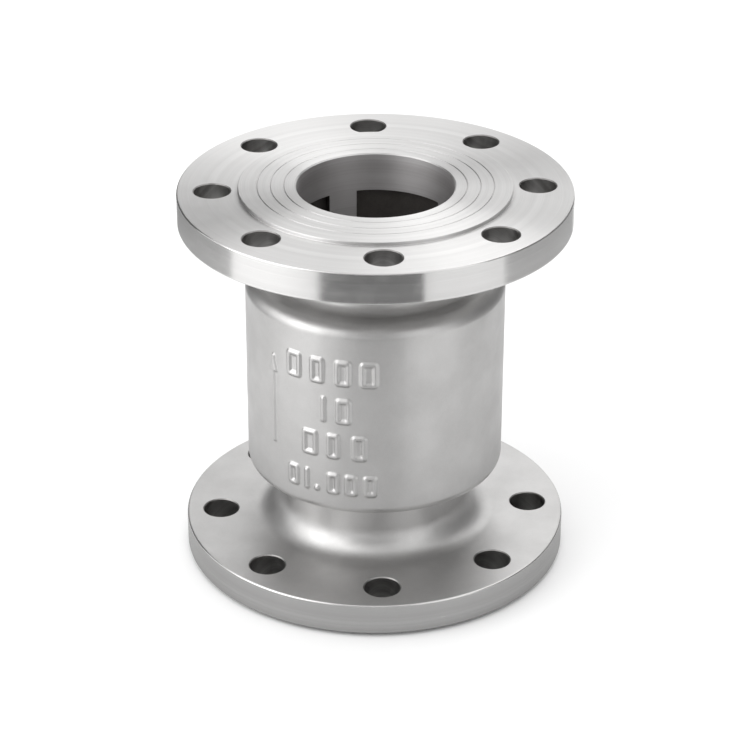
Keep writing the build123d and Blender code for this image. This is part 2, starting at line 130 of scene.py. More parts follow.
def new_group(
    name: str,
    kind: str,
    inputs: dict[str, tuple[str, Any]],
    outputs: dict[str, str],
) -> tuple[Wiring, bpy.types.Node, bpy.types.Node]:
    """Start a node group with named sockets.

    Args:
        name: The group's name.
        kind: "ShaderNodeTree" or "GeometryNodeTree".
        inputs: Socket name to its socket type and default value, with None for no default.
        outputs: Socket name to its socket type.

    Returns:
        The group's wiring, its Group Input node and its Group Output node.
    """
    tree = bpy.data.node_groups.new(name, kind)
    for socket_name, (socket_type, default) in inputs.items():
        socket = tree.interface.new_socket(socket_name, in_out="INPUT", socket_type=socket_type)
        if default is not None:
            socket.default_value = default
    for socket_name, socket_type in outputs.items():
        tree.interface.new_socket(socket_name, in_out="OUTPUT", socket_type=socket_type)
    wiring = Wiring(tree)
    return wiring, wiring.add("NodeGroupInput"), wiring.add("NodeGroupOutput")


class Effects:
    """Surface effects that several finishes share, each built once as a node group."""

    _built: dict[str, bpy.types.NodeTree] = {}

    @classmethod
    def get(cls, name: str) -> bpy.types.NodeTree:
        """Return the named effect's group, built on first use."""
        if name not in cls._built:
            cls._built[name] = getattr(cls, f"_{name}")()
        return cls._built[name]

    @staticmethod
    def _tool_lines() -> bpy.types.NodeTree:
        """Fine lines that a lathe tool leaves round the axis, on flat and on round faces alike."""
        wiring, given, result = new_group(
            "tool_lines",
            "ShaderNodeTree",
            {
                "Position": ("NodeSocketVector", None),
                "Pitch": ("NodeSocketFloat", 0.0006),
                "Waver": ("NodeSocketFloat", 0.25),
            },
            {"Height": "NodeSocketFloat", "Tone": "NodeSocketFloat"},
        )
        split = wiring.add("ShaderNodeSeparateXYZ", {0: given.outputs["Position"]})
        across = wiring.math("MULTIPLY", split.outputs["X"], split.outputs["X"])
        along = wiring.math("MULTIPLY", split.outputs["Y"], split.outputs["Y"])
        radius = wiring.math("SQRT", wiring.math("ADD", across, along))
        travel = wiring.math("ADD", radius, split.outputs["Z"])
        drift = wiring.add(
            "ShaderNodeTexNoise",
            {"Vector": given.outputs["Position"], "Scale": 60.0, "Detail": 1.0},
        )
        wander = wiring.math("MULTIPLY", drift.outputs[0], given.outputs["Waver"])
        lines = wiring.math("ADD", wiring.math("DIVIDE", travel, given.outputs["Pitch"]), wander)
        fine = wiring.add(
            "ShaderNodeTexNoise", {"W": lines, "Scale": 1.0, "Detail": 2.0}, noise_dimensions="1D"
        )
        broad = wiring.add(
            "ShaderNodeTexNoise", {"W": lines, "Scale": 0.13, "Detail": 1.0}, noise_dimensions="1D"
        )
        wiring.feed(result.inputs["Height"], fine.outputs[0])
        tone = wiring.math("ADD", wiring.math("MULTIPLY", fine.outputs[0], 0.5),
                           wiring.math("MULTIPLY", broad.outputs[0], 0.5))
        wiring.feed(result.inputs["Tone"], wiring.remap(tone, 0.3, 0.7))
        return wiring.tree

    @staticmethod
    def _cast_grain() -> bpy.types.NodeTree:
        """The pebbled skin of a sand casting after blasting, with broad dull patches."""
        wiring, given, result = new_group(
            "cast_grain",
            "ShaderNodeTree",
            {
                "Position": ("NodeSocketVector", None),
                "Grain": ("NodeSocketFloat", 0.0009),
                "Patch": ("NodeSocketFloat", 0.02),
            },
            {"Height": "NodeSocketFloat", "Tone": "NodeSocketFloat", "Patches": "NodeSocketFloat"},
        )
        grain_scale = wiring.math("DIVIDE", 1.0, given.outputs["Grain"])
        grain = wiring.add(
            "ShaderNodeTexNoise",
            {"Vector": given.outputs["Position"], "Scale": grain_scale, "Detail": 3.0, "Roughness": 0.62},
        )
        pits = wiring.add(
            "ShaderNodeTexVoronoi",
            {"Vector": given.outputs["Position"], "Scale": wiring.math("MULTIPLY", grain_scale, 0.55)},
            feature="SMOOTH_F1",
        )
        patch_scale = wiring.math("DIVIDE", 1.0, given.outputs["Patch"])
        patches = wiring.add(
            "ShaderNodeTexNoise",
            {"Vector": given.outputs["Position"], "Scale": patch_scale, "Detail": 4.0, "Roughness": 0.6},
        )
        pitted = wiring.math("MULTIPLY", pits.outputs["Distance"], 0.45)
        wiring.feed(result.inputs["Height"], wiring.math("ADD", grain.outputs[0], pitted))
        wiring.feed(result.inputs["Tone"], wiring.remap(grain.outputs[0], 0.32, 0.68))
        wiring.feed(result.inputs["Patches"], wiring.remap(patches.outputs[0], 0.35, 0.68))
        return wiring.tree

    @staticmethod
    def _handling() -> bpy.types.NodeTree:
        """Faint smears and scuffs from handling, as a roughness mask."""
        wiring, given, result = new_group(
            "handling",
            "ShaderNodeTree",
            {"Position": ("NodeSocketVector", None), "Size": ("NodeSocketFloat", 0.012)},
            {"Mask": "NodeSocketFloat"},
        )
        scale = wiring.math("DIVIDE", 1.0, given.outputs["Size"])
        smears = wiring.add(
            "ShaderNodeTexNoise",
            {"Vector": given.outputs["Position"], "Scale": scale, "Detail": 5.0, "Distortion": 1.2},
        )
        wiring.feed(result.inputs["Mask"], wiring.remap(smears.outputs[0], 0.45, 0.7))
        return wiring.tree


class Surface:
    """One material under construction: its Principled shader, its object coordinates and its effects."""

    def __init__(self, name: str) -> None:
        """Make an empty material with a Principled shader."""
        self.material = bpy.data.materials.new(name)
        self.material.use_nodes = True
        self.material.node_tree.nodes.clear()
        self.wiring = Wiring(self.material.node_tree)
        self.shader = self.wiring.add("ShaderNodeBsdfPrincipled")
        self.wiring.add("ShaderNodeOutputMaterial", {"Surface": self.shader.outputs[0]})
        self.position = self.wiring.add("ShaderNodeTexCoord").outputs["Object"]

    def set(self, **values: Any) -> None:
        """Set or link shader sockets, with their names' spaces written as underscores."""
        for name, value in values.items():
            self.wiring.feed(self.shader.inputs[name.replace("_", " ")], value)

    def effect(self, name: str, **values: float) -> bpy.types.Node:
        """Place a shared effect that reads the object's own coordinates."""
        node = self.wiring.add("ShaderNodeGroup", node_tree=Effects.get(name))
        self.wiring.feed(node.inputs["Position"], self.position)
        for socket, value in values.items():
            self.wiring.feed(node.inputs[socket], value)
        return node

    def bump(self, height: Any, depth: float) -> None:
        """Raise the surface by a height from 0 to 1, times a depth in metres."""
        bump = self.wiring.add("ShaderNodeBump", {"Height": height, "Distance": depth, "Strength": 1.0})
        self.wiring.feed(self.shader.inputs["Normal"], bump.outputs[0])

    def comb_round_axis(self) -> None:
        """Run the brushed direction round the Z axis."""
        tangent = self.wiring.add("ShaderNodeTangent", direction_type="RADIAL", axis="Z")
        self.wiring.feed(self.shader.inputs["Tangent"], tangent.outputs[0])


# --------------------------------------------------------------------------------------------------
# Finishes
# --------------------------------------------------------------------------------------------------

Colour = tuple[float, float, float]


@dataclass(frozen=True)
class TurnedSteel:
    """Stainless steel straight from the lathe.

    Its gloss runs across the tool lines, so the brushed direction is turned a quarter from the way round.
    """

    name: str
    slot: str
    light: Colour = (0.66, 0.655, 0.65)
    dark: Colour = (0.57, 0.565, 0.56)
    roughness: tuple[float, float] = (0.2, 0.28)
    pitch: float = 0.5 * MM
    depth: float = 0.003 * MM
    anisotropy: float = 0.7

    def material(self) -> bpy.types.Material:
        """Build the finish: tool lines in colour, gloss and relief, with faint smears."""
        surface = Surface(self.name)
        lines = surface.effect("tool_lines", Pitch=self.pitch)
        smears = surface.effect("handling")
        wiring = surface.wiring
        gloss = wiring.math("ADD", wiring.math("MULTIPLY", lines.outputs["Tone"], 0.6),
                            wiring.math("MULTIPLY", smears.outputs["Mask"], 0.4))
        surface.set(
            Base_Color=wiring.blend(lines.outputs["Tone"], self.dark, self.light),
            Metallic=1.0,
            Roughness=wiring.remap(gloss, 0.0, 1.0, *self.roughness),
            Anisotropic=self.anisotropy,
            Anisotropic_Rotation=0.25,
        )
        surface.bump(lines.outputs["Height"], self.depth)
        surface.comb_round_axis()
        return surface.material


@dataclass(frozen=True)
class BlastedCasting:
    """Cast stainless steel, pickled and blasted to an even matt skin."""

    name: str
    slot: str
    light: Colour = (0.57, 0.565, 0.56)
    dark: Colour = (0.51, 0.505, 0.5)
    roughness: tuple[float, float] = (0.38, 0.46)
    grain: float = 0.7 * MM
    depth: float = 0.03 * MM

    def material(self) -> bpy.types.Material:
        """Build the finish: grain in relief, and broad patches in colour and gloss."""
        surface = Surface(self.name)
        skin = surface.effect("cast_grain", Grain=self.grain)
        wiring = surface.wiring
        tone = wiring.math("ADD", wiring.math("MULTIPLY", skin.outputs["Tone"], 0.35),
                           wiring.math("MULTIPLY", skin.outputs["Patches"], 0.65))
        surface.set(
            Base_Color=wiring.blend(tone, self.dark, self.light),
            Metallic=1.0,
            Roughness=wiring.remap(skin.outputs["Patches"], 0.0, 1.0, self.roughness[1], self.roughness[0]),
        )
        surface.bump(skin.outputs["Height"], self.depth)
        return surface.material


@dataclass(frozen=True)
class SmoothSteel:
    """Drawn, stamped or ground steel: even metal with light handling marks."""

    name: str
    slot: str
    light: Colour = (0.64, 0.64, 0.635)
    dark: Colour = (0.58, 0.58, 0.575)
    roughness: tuple[float, float] = (0.22, 0.4)
    grain: float = 0.25 * MM
    depth: float = 0.004 * MM

    def material(self) -> bpy.types.Material:
        """Build the finish: a fine grain and smears."""
        surface = Surface(self.name)
        skin = surface.effect("cast_grain", Grain=self.grain, Patch=0.008)
        smears = surface.effect("handling", Size=0.005)
        wiring = surface.wiring
        surface.set(
            Base_Color=wiring.blend(skin.outputs["Patches"], self.dark, self.light),
            Metallic=1.0,
            Roughness=wiring.remap(smears.outputs["Mask"], 0.0, 1.0, *self.roughness),
        )
        surface.bump(skin.outputs["Height"], self.depth)
        return surface.material


@dataclass(frozen=True)
class Polymer:
    """A seal or bush in PTFE or rubber."""

    name: str
    slot: str
    light: Colour = (0.85, 0.85, 0.83)
    dark: Colour = (0.76, 0.76, 0.73)
    roughness: tuple[float, float] = (0.4, 0.55)
    grain: float = 0.15 * MM
    depth: float = 0.003 * MM

    def material(self) -> bpy.types.Material:
        """Build the finish: a faint mottle and a soft sheen."""
        surface = Surface(self.name)
        skin = surface.effect("cast_grain", Grain=self.grain, Patch=0.004)
        wiring = surface.wiring
        surface.set(
            Base_Color=wiring.blend(skin.outputs["Patches"], self.dark, self.light),
            Roughness=wiring.remap(skin.outputs["Tone"], 0.0, 1.0, *self.roughness),
        )
        surface.bump(skin.outputs["Height"], self.depth)
        return surface.material


FACED = TurnedSteel("faced_joint_steel", "cast_stainless", roughness=(0.36, 0.44), anisotropy=0.92)
RIM = TurnedSteel("turned_rim_steel", "cast_stainless")
CAST = BlastedCasting("blasted_casting", "cast_stainless")
# Painted shade: the cavity's near-black colour stands for the shade inside the casting's recesses, not for a
# darker cast skin.
CAVITY = BlastedCasting(
    "casting_cavity", "cast_stainless", light=(0.17, 0.16, 0.15), dark=(0.11, 0.1, 0.095),
    roughness=(0.55, 0.7),
)
PORT = TurnedSteel(
    "bored_port", "cast_stainless", light=(0.54, 0.53, 0.53), dark=(0.47, 0.455, 0.455),
    roughness=(0.5, 0.6), pitch=0.9 * MM, anisotropy=0.7,
)
# Painted shade: the bolt holes' dark colour stands for the shade inside them.
DRILLED = TurnedSteel(
    "drilled_hole", "cast_stainless", light=(0.36, 0.355, 0.35), dark=(0.24, 0.235, 0.23),
    roughness=(0.35, 0.5), pitch=0.4 * MM, anisotropy=0.0,
)
TRIM = TurnedSteel("turned_trim", "turned_stainless", light=(0.7, 0.695, 0.69), dark=(0.56, 0.555, 0.55))
GROUND = TurnedSteel(
    "ground_stem", "ground_stainless", roughness=(0.14, 0.22), pitch=0.2 * MM, depth=0.001 * MM
)
BOLTING = SmoothSteel("bolt_steel", "bolt_stainless")
SHEET = SmoothSteel("sheet_steel", "sheet_stainless", roughness=(0.28, 0.42))
STRIP = SmoothSteel("spring_strip", "spring_steel", light=(0.45, 0.44, 0.43), dark=(0.4, 0.395, 0.39))
WIRE = SmoothSteel("spring_wire", "spring_wire", light=(0.54, 0.54, 0.535), dark=(0.48, 0.48, 0.475))
PTFE = Polymer("ptfe_seal", "white_ptfe")
FILLED_PTFE = Polymer("filled_ptfe", "filled_ptfe", light=(0.19, 0.18, 0.17), dark=(0.12, 0.115, 0.11))
RUBBER = Polymer("seal_rubber", "black_rubber", light=(0.035, 0.035, 0.035), dark=(0.022, 0.022, 0.022))


# --------------------------------------------------------------------------------------------------
# Meshes
# --------------------------------------------------------------------------------------------------


def plain_copy(source: bpy.types.Object, name: str) -> bpy.types.Object:
    """Turn an object with live modifiers into a plain mesh object, and remove the source.

    Args:
        source: The object to evaluate.
        name: The new object's name.

    Returns:
        The plain object, at the origin.
    """
    bpy.context.view_layer.update()
    graph = bpy.context.evaluated_depsgraph_get()
    evaluated = source.evaluated_get(graph)
    mesh = bpy.data.meshes.new_from_object(evaluated, preserve_all_data_layers=True, depsgraph=graph)
    bpy.data.objects.remove(source)
    mesh.name = name
    return place(mesh, name)


def place(mesh: bpy.types.Mesh, name: str) -> bpy.types.Object:
    """Link a mesh into the scene as an object at the origin."""
    obj = bpy.data.objects.new(name, mesh)
    bpy.context.scene.collection.objects.link(obj)
    return obj


def hand_over(obj: bpy.types.Object, body: str, slot: str, *nodes: str) -> bpy.types.Object:
    """Let a finished piece ride on its body and stand for its CAD nodes."""
    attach(obj, body)
    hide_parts(*nodes)
    return obj


class Corner(NamedTuple):
    """One corner of a section, in millimetres, with the radius that rounds it."""

    radius: float
    height: float
    rounding: float = 0.0


def rounded_outline(corners: Sequence[Corner], step_degrees: float = 9.0) -> list[tuple[float, float]]:
    """Round the corners of an open section.

    Args:
        corners: The section's corners in order.
        step_degrees: The most that one chord of a rounded corner turns.

    Returns:
        Points as (radius, height), in millimetres.
    """
    points = [(corners[0].radius, corners[0].height)]
    for before, corner, after in zip(corners, corners[1:], corners[2:]):
        here = Vector((corner.radius, corner.height))
        back = (Vector(before[:2]) - here).normalized()
        ahead = (Vector(after[:2]) - here).normalized()
        turn = math.pi - back.angle(ahead)
        if corner.rounding == 0 or turn < 0.001:
            points.append(tuple(here))
            continue
        inset = corner.rounding * math.tan(turn / 2)
        centre = here + (back + ahead).normalized() * (corner.rounding / math.cos(turn / 2))
        start, end = here + back * inset - centre, here + ahead * inset - centre
        count = max(2, math.ceil(math.degrees(turn) / step_degrees))
        for index in range(count + 1):
            share = index / count
            arm = (start * math.sin((1 - share) * turn) + end * math.sin(share * turn)) / math.sin(turn)
            points.append(tuple(centre + arm))
    points.append((corners[-1].radius, corners[-1].height))
    return points


def rounded_box(across: float, along: float, width: float, height: float, radius: float) -> float:
    """Signed distance from a point to a box with rounded corners, both about the origin."""
    out_x = abs(across) - width / 2 + radius
    out_y = abs(along) - height / 2 + radius
    outside = math.hypot(max(out_x, 0.0), max(out_y, 0.0))
    return outside + min(max(out_x, out_y), 0.0) - radius


def soft_step(value: float) -> float:
    """Ease from 0 to 1 as the value goes from 0 to 1."""
    value = min(max(value, 0.0), 1.0)
    return value * value * (3 - 2 * value)


@dataclass(frozen=True)
class FoundryMarks:
    """Raised foundry marks on the barrel: four rows of blank outlines and a flow arrow.

    Azimuths are degrees from -Y towards +X, and sizes are millimetres.
    """

    barrel_radius: float
    relief: float = 1.0
    edge: float = 0.8
    stroke: float = 2.2
    rows: tuple[tuple[float, float, tuple[tuple[float, float], ...]], ...] = (
        (128.3, 13.5, ((-17.4, 8.4), (-5.9, 7.4), (5.9, 7.8), (17.2, 8.4))),
        (107.4, 13.5, ((-3.0, 2.2), (6.1, 7.6))),
        (87.6, 13.5, ((-9.6, 8.4), (1.4, 6.6), (13.0, 7.2))),
        (66.6, 11.5, ((-18.2, 6.4), (-11.2, 2.2), (1.4, 6.4), (9.4, 6.4), (17.8, 6.6))),
    )
    dot: tuple[float, float, float] = (-6.2, 62.4, 1.3)
    arrow_azimuth: float = -29.8
    arrow_tail: float = 80.0
    arrow_tip: float = 128.5
    arrow_width: float = 1.8
    head_length: float = 9.0
    head_width: float = 5.4

    def distance(self, azimuth: float, height: float) -> float:
        """Signed distance from a point of the barrel to the nearest mark's outline."""
        nearest = self.arrow(self.arc(azimuth - self.arrow_azimuth), height)
        dot_azimuth, dot_height, dot_radius = self.dot
        from_dot = math.hypot(self.arc(azimuth - dot_azimuth), height - dot_height)
        nearest = min(nearest, from_dot - dot_radius)
        for row_height, glyph_height, glyphs in self.rows:
            if abs(height - row_height) > glyph_height:
                continue
            for centre, width in glyphs:
                across = self.arc(azimuth - centre)
                rounding = 0.3 * min(width, 6.0)
                from_edge = rounded_box(across, height - row_height, width, glyph_height, rounding)
                nearest = min(nearest, abs(from_edge + self.stroke / 2) - self.stroke / 2)
        return nearest

    def arc(self, degrees: float) -> float:
        """Length round the barrel of an angle."""
        return math.radians(degrees) * self.barrel_radius

    def arrow(self, across: float, height: float) -> float:
        """Signed distance from a point to the arrow's shaft and head."""
        middle = (self.arrow_tail + self.arrow_tip) / 2
        length = self.arrow_tip - self.arrow_tail
        shaft = rounded_box(across, height - middle, self.arrow_width, length, self.arrow_width / 2)
        below_tip = self.arrow_tip - height
        flank = abs(across) - self.head_width / 2 * below_tip / self.head_length
        slope = math.hypot(1.0, self.head_width / 2 / self.head_length)
        return min(shaft, max(flank / slope, below_tip - self.head_length, -below_tip))

    def rise(self, azimuth: float, height: float) -> float:
        """How far the skin stands out at a point, in millimetres."""
        return self.relief * soft_step(0.5 - self.distance(azimuth, height) / self.edge)


class Skin(Enum):
    """The finishes that meet on the casting, in the order of its material slots; the cavity's and the drilled
    holes' dark colours are painted shade.
    """

    CAST = 0
    FACED = 1
    PORT = 2
    CAVITY = 3
    RIM = 4
    DRILLED = 5


class Loop(NamedTuple):
    """One loop of the casting's skin, in millimetres.

    The rib's land may run at another radius and height than the wall between the ribs. A loop with no land
    is a plain circle. The skin is the finish of the band that ends at this loop.
    """

    radius: float
    height: float
    skin: Skin
    land: tuple[float, float] | None = None


class Spoke(NamedTuple):
    """One place round the axis where every loop has a point."""

    azimuth: float
    rib: float
    on_land: bool
    share: float


@dataclass
class Casting:
    """The one-piece body: two flanges, two necks, the barrel and the four ribs in its outlet.

    Sizes are millimetres; the outside ones that the frame states are read from it.
    """

    flange_radius: float
    barrel_radius: float
    face_to_face: float
    bolt_circle: float
    bolt_radius: float
    bolt_count: int
    flange_thickness: float = 18.0
    raised_radius: float = 67.5
    raised_height: float = 2.0
    grooves: tuple[float, ...] = (45.0, 51.6, 58.2)
    groove_width: float = 0.8
    groove_depth: float = 0.35
    neck_radius: float = 48.0
    barrel_bottom: float = 49.5
    barrel_top: float = 153.5
    barrel_bottom_rounding: float = 5.0
    barrel_top_rounding: float = 7.0
    barrel_bottom_root: float = 3.0
    barrel_top_root: float = 6.0
    inlet_fillet: float = 14.0
    outlet_fillet: float = 12.0
    flange_edge: float = 0.9
    face_edge: float = 0.5
    face_root: float = 0.3
    port_chamfer: float = 0.6
    hole_chamfer: float = 0.5
    drill_sides: int = 56
    port_radius: float = 39.0
    outlet_depth: float = 20.0
    recess_radius: float = 43.0
    chamber_radius: float = 57.5
    chamber_floor: float = 57.0
    chamber_ceiling: float = 147.0
    chamber_corner: float = 8.0
    recess_corner: float = 3.0
    boss_radius: float = 42.0
    boss_top: float = 62.0
    pocket_radius: float = 36.0
    pocket_floor: float = 50.0
    throat_radius: float = 33.0
    throat_top: float = 40.0
    throat_rounding: float = 10.0
    inlet_depth: float = 18.0
    rib_width: float = 15.0
    ledge: float = 146.0
    low_land: float = 38.0
    ring_groove: tuple[float, float, float] = (154.0, 156.6, 41.0)
    rib_azimuths: tuple[float, ...] = (-45.0, 45.0, 135.0, 225.0)
    land_steps: int = 6
    fine_steps: int = 130
    coarse_steps: int = 32
    mark_step: float = 0.65
    marks_bottom: float = 57.0
    marks_top: float = 138.0
    sand_swell: float = 0.07
    spokes: list[Spoke] = field(init=False)
    marks: FoundryMarks = field(init=False)

    def __post_init__(self) -> None:
        """Lay out the spokes and the marks."""
        self.marks = FoundryMarks(self.barrel_radius)
        self.land_edge = self.half_rib(self.port_radius)
        self.root_edge = self.land_edge + 1.5
        self.spokes = self.lay_spokes()

    def half_rib(self, radius: float) -> float:
        """Half the angle of a rib at a radius, in degrees."""
        return math.degrees(math.asin(self.rib_width / 2 / radius))

    def lay_spokes(self) -> list[Spoke]:
        """Place the spokes: a few on each rib's land, and finer ones behind the marks than elsewhere."""
        spokes = []
        gap = 90.0 - 2 * self.root_edge
        for rib in self.rib_azimuths:
            for index in range(self.land_steps + 1):
                share = 2 * index / self.land_steps - 1
                spokes.append(Spoke(rib + share * self.land_edge, rib, True, share))
            steps = self.fine_steps if rib == self.rib_azimuths[0] else self.coarse_steps
            for index in range(steps + 1):
                share = index / steps
                spokes.append(Spoke(rib + self.root_edge + share * gap, rib, False, share))
        return spokes

    def joint_face(self, face: float, inward: float) -> list[Corner]:
        """One raised joint face from the port's edge out to its rim, with its grooves."""
        chamfer = self.port_chamfer
        corners = [
            Corner(self.port_radius, face + chamfer * inward),
            Corner(self.port_radius + chamfer, face),
        ]
        for groove in self.grooves:
            corners += [
                Corner(groove - self.groove_width / 2, face),
                Corner(groove, face + self.groove_depth * inward),
                Corner(groove + self.groove_width / 2, face),
            ]
        corners += [
            Corner(self.raised_radius, face, self.face_edge),
            Corner(self.raised_radius, face + self.raised_height * inward, self.face_root),
        ]
        return corners

    def outside(self) -> list[Loop]:
        """The outer skin from the inlet port up to the outlet port."""
        top = self.face_to_face
        back = top - self.flange_thickness
        lower = self.joint_face(0.0, 1.0) + [
            Corner(self.flange_radius, self.raised_height, self.flange_edge),
            Corner(self.flange_radius, self.flange_thickness, self.flange_edge),
            Corner(self.neck_radius, self.flange_thickness, self.inlet_fillet),
            Corner(self.neck_radius, self.barrel_bottom, self.barrel_bottom_root),
            Corner(self.barrel_radius, self.barrel_bottom, self.barrel_bottom_rounding),
            Corner(self.barrel_radius, self.marks_bottom),
        ]
        upper = [
            Corner(self.barrel_radius, self.marks_top),
            Corner(self.barrel_radius, self.barrel_top, self.barrel_top_rounding),
            Corner(self.neck_radius, self.barrel_top, self.barrel_top_root),
            Corner(self.neck_radius, back, self.outlet_fillet),
            Corner(self.flange_radius, back, self.flange_edge),
            Corner(self.flange_radius, top - self.raised_height, self.flange_edge),
        ] + self.joint_face(top, -1.0)[::-1]
        points = rounded_outline(lower)
        rows = math.ceil((self.marks_top - self.marks_bottom) / self.mark_step)
        for row in range(1, rows):
            share = row / rows
            height = self.marks_bottom + share * (self.marks_top - self.marks_bottom)
            points.append((self.barrel_radius, height))
        points += rounded_outline(upper)
        return [Loop(radius, height, self.outer_skin(radius, height)) for radius, height in points]

    def outer_skin(self, radius: float, height: float) -> Skin:
        """Cast between the flanges out to the fillets, turned on the rims, and faced elsewhere."""
        between = self.flange_thickness <= height <= self.face_to_face - self.flange_thickness
        if between and radius < self.barrel_radius + 1:
            return Skin.CAST
        return Skin.RIM if radius > self.flange_radius - 0.5 else Skin.FACED

    def inside(self) -> list[Loop]:
        """The passage from the outlet port down to the inlet port, with the ribs' lands."""
        shoulder = self.face_to_face - self.outlet_depth
        groove_low, groove_high, groove_radius = self.ring_groove
        walls = rounded_outline(
            [
                Corner(self.recess_radius, shoulder),
                Corner(self.recess_radius, groove_high),
                Corner(self.recess_radius, groove_low),
                Corner(self.recess_radius, self.chamber_ceiling, self.recess_corner),
                Corner(self.chamber_radius, self.chamber_ceiling, self.chamber_corner),
                Corner(self.chamber_radius, self.chamber_floor, self.chamber_corner),
                Corner(self.boss_radius, self.chamber_floor),
                Corner(self.boss_radius, self.boss_top),
            ]
        )
        loops = [Loop(self.port_radius, shoulder, Skin.PORT)]
        steps = (
            (groove_high, self.port_radius, groove_radius),
            (groove_low, groove_radius, self.port_radius),
            (self.ledge, self.port_radius, self.low_land),
        )
        land = self.port_radius
        previous = None
        for radius, height in walls:
            for level, above, below in steps:
                if previous and previous[1] > level >= height:
                    share = (previous[1] - level) / (previous[1] - height)
                    cut = previous[0] + share * (radius - previous[0])
                    loops.append(Loop(cut, level, Skin.CAVITY, (above, level)))
                    loops.append(Loop(cut, level, Skin.CAVITY, (below, level)))
                    land = below
            last = loops[-1]
            if not last.land or abs(last.height - height) + abs(last.radius - radius) > 0.001:
                loops.append(Loop(radius, height, Skin.CAVITY, (land, max(height, self.boss_top))))
            previous = (radius, height)
        seat = rounded_outline(
            [
                Corner(self.pocket_radius, self.boss_top),
                Corner(self.pocket_radius, self.pocket_floor),
                Corner(self.throat_radius, self.pocket_floor),
                Corner(self.throat_radius, self.throat_top, self.throat_rounding),
                Corner(self.port_radius, self.inlet_depth, self.throat_rounding),
                Corner(self.port_radius, self.port_chamfer),
            ]
        )
        for radius, height in seat[:-1]:
            skin = Skin.PORT if height >= self.pocket_floor or height < self.inlet_depth else Skin.CAVITY
            loops.append(Loop(radius, height, skin))
        return loops

    def point(self, loop: Loop, spoke: Spoke) -> Vector:
        """Where a loop crosses a spoke, in millimetres."""
        if loop.land is None:
            radius, height, azimuth = loop.radius, loop.height, spoke.azimuth
        elif spoke.on_land:
            radius, height = loop.land
            azimuth = spoke.rib + spoke.share * self.half_rib(radius)
        else:
            radius, height = loop.radius, loop.height
            root = self.half_rib(radius)
            azimuth = spoke.rib + root + spoke.share * (90.0 - 2 * root)
        angle = math.radians(azimuth - 90.0)
        return Vector((radius * math.cos(angle), radius * math.sin(angle), height))

    def lathe(self) -> bpy.types.Mesh:
        """The body before its bolt holes are drilled: a closed skin of quads."""
        loops = self.outside() + self.inside()
        build = bmesh.new()
        grid = [[build.verts.new(self.point(loop, spoke) * MM) for spoke in self.spokes] for loop in loops]
        for index, loop in enumerate(loops):
            before, here = grid[index - 1], grid[index]
            ribbed = loop.land is not None and loops[index - 1].land is not None
            for place_, spoke in enumerate(self.spokes):
                after = (place_ + 1) % len(self.spokes)
                face = build.faces.new((before[place_], before[after], here[after], here[place_]))
                on_land = ribbed and spoke.on_land and self.spokes[after].on_land
                face.material_index = (Skin.PORT if on_land else loop.skin).value
        bmesh.ops.remove_doubles(build, verts=build.verts[:], dist=0.001 * MM)
        bmesh.ops.dissolve_degenerate(build, edges=build.edges[:], dist=0.001 * MM)
        bmesh.ops.recalc_face_normals(build, faces=build.faces[:])
        mesh = bpy.data.meshes.new("casting_blank")
        build.to_mesh(mesh)
        build.free()
        return mesh

    def drill(self) -> bpy.types.Mesh:
        """One drill that passes both flanges and breaks the edges of its holes."""
        edge = self.hole_chamfer
        top = self.face_to_face
        wide = self.bolt_radius + 2 * edge
        section = [(wide + 1.5, self.raised_height - 2.5)]
        for low, high in (
            (self.raised_height, self.flange_thickness),
            (top - self.flange_thickness, top - self.raised_height),
        ):
            section += [
                (wide, low - edge),
                (self.bolt_radius, low + edge),
                (self.bolt_radius, high - edge),
                (wide, high + edge),
            ]
        section.append((wide + 1.5, top + 0.5))
        sides = self.drill_sides
        build = bmesh.new()
        rings = []
        for radius, height in section:
            ring = []
            for side in range(sides):
                angle = math.tau * side / sides
                ring.append(build.verts.new(Vector((math.cos(angle), math.sin(angle), 0)) * radius * MM
                                            + Vector((0, 0, height * MM))))
            rings.append(ring)
        for lower, upper in zip(rings, rings[1:]):
            for side in range(sides):
                after = (side + 1) % sides
                build.faces.new((lower[side], lower[after], upper[after], upper[side]))
        build.faces.new(rings[0][::-1])
        build.faces.new(rings[-1])
        mesh = bpy.data.meshes.new("drill")
        build.to_mesh(mesh)
        build.free()
        return mesh

    def drill_circle(self) -> bpy.types.Object:
        """The drills round the bolt circle, set out by Geometry Nodes and made one plain mesh."""
        wiring, given, result = new_group(
            "bolt_circle",
            "GeometryNodeTree",
            {
                "Geometry": ("NodeSocketGeometry", None),
                "Count": ("NodeSocketInt", 8),
                "Circle Radius": ("NodeSocketFloat", 0.08),
                "First Angle": ("NodeSocketFloat", 0.0),
                "Finish": ("NodeSocketMaterial", None),
            },
            {"Geometry": "NodeSocketGeometry"},
        )
        circle = wiring.add(
            "GeometryNodeMeshCircle",
            {"Vertices": given.outputs["Count"], "Radius": given.outputs["Circle Radius"]},
        )
        turn = wiring.add("ShaderNodeCombineXYZ", {"Z": given.outputs["First Angle"]})
        turned = wiring.add(
            "GeometryNodeTransform", {"Geometry": circle.outputs[0], "Rotation": turn.outputs[0]}
        )
        copies = wiring.add(
            "GeometryNodeInstanceOnPoints",
            {"Points": turned.outputs[0], "Instance": given.outputs["Geometry"]},
        )
        solid = wiring.add("GeometryNodeRealizeInstances", {0: copies.outputs[0]})
        dressed = wiring.add(
            "GeometryNodeSetMaterial", {"Geometry": solid.outputs[0], "Material": given.outputs["Finish"]}
        )
        wiring.feed(result.inputs[0], dressed.outputs[0])
        drills = place(self.drill(), "drill_circle")
        apply_tree(
            drills,
            wiring.tree,
            {
                "Count": self.bolt_count,
                "Circle Radius": self.bolt_circle / 2 * MM,
                "First Angle": math.pi / self.bolt_count,
                "Finish": DRILLED.material(),
            },
        )
        return plain_copy(drills, "drills")

